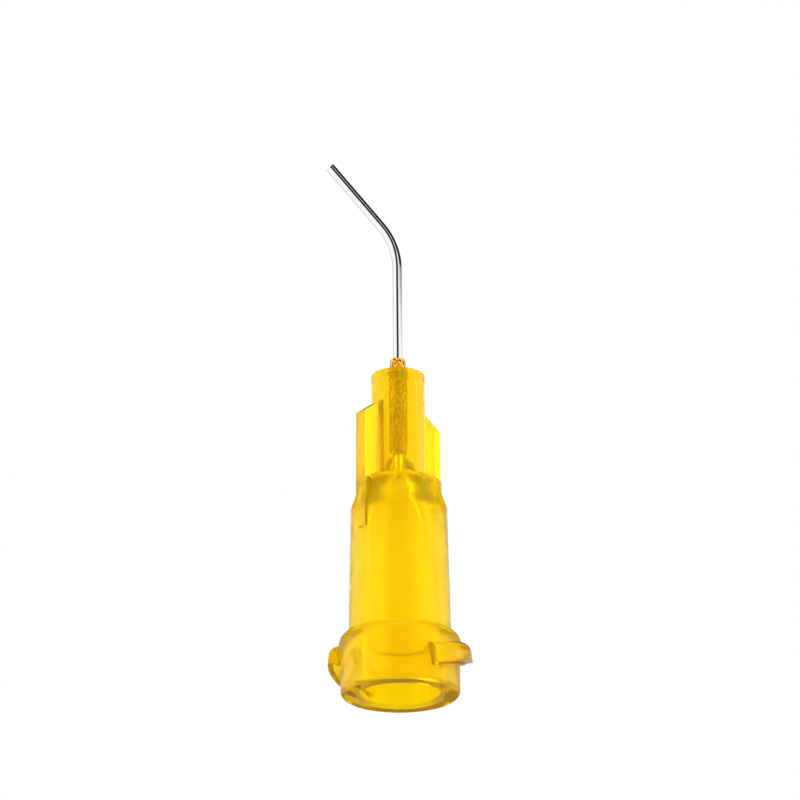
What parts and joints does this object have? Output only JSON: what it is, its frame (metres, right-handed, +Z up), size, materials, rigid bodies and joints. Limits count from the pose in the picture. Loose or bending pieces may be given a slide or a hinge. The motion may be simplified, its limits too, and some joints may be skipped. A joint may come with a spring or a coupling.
{
  "type": "bent dispensing needle tip",
  "caption": "Dispensing needle tip: translucent amber moulded luer-lock hub with two fins on a slim nose, and a thin steel tube bonded in it and bent over at its top.",
  "frame": {"origin": "centre of the mouth rim's face, on the hub's axis", "axes": "+Z up the hub's axis towards the needle; the needle bends over in the XZ plane, towards -X"},
  "size_m": [0.0078, 0.0078, 0.0303],
  "materials": {
    "hub_plastic": "translucent moulded polypropylene, glossy",
    "needle_steel": "drawn and polished stainless steel",
    "adhesive": "cured clear amber adhesive"
  },
  "bodies": {
    "root": {"luer_hub": "hub_plastic", "needle_tube": "needle_steel", "adhesive_bond": "adhesive"}
  },
  "joints": []
}
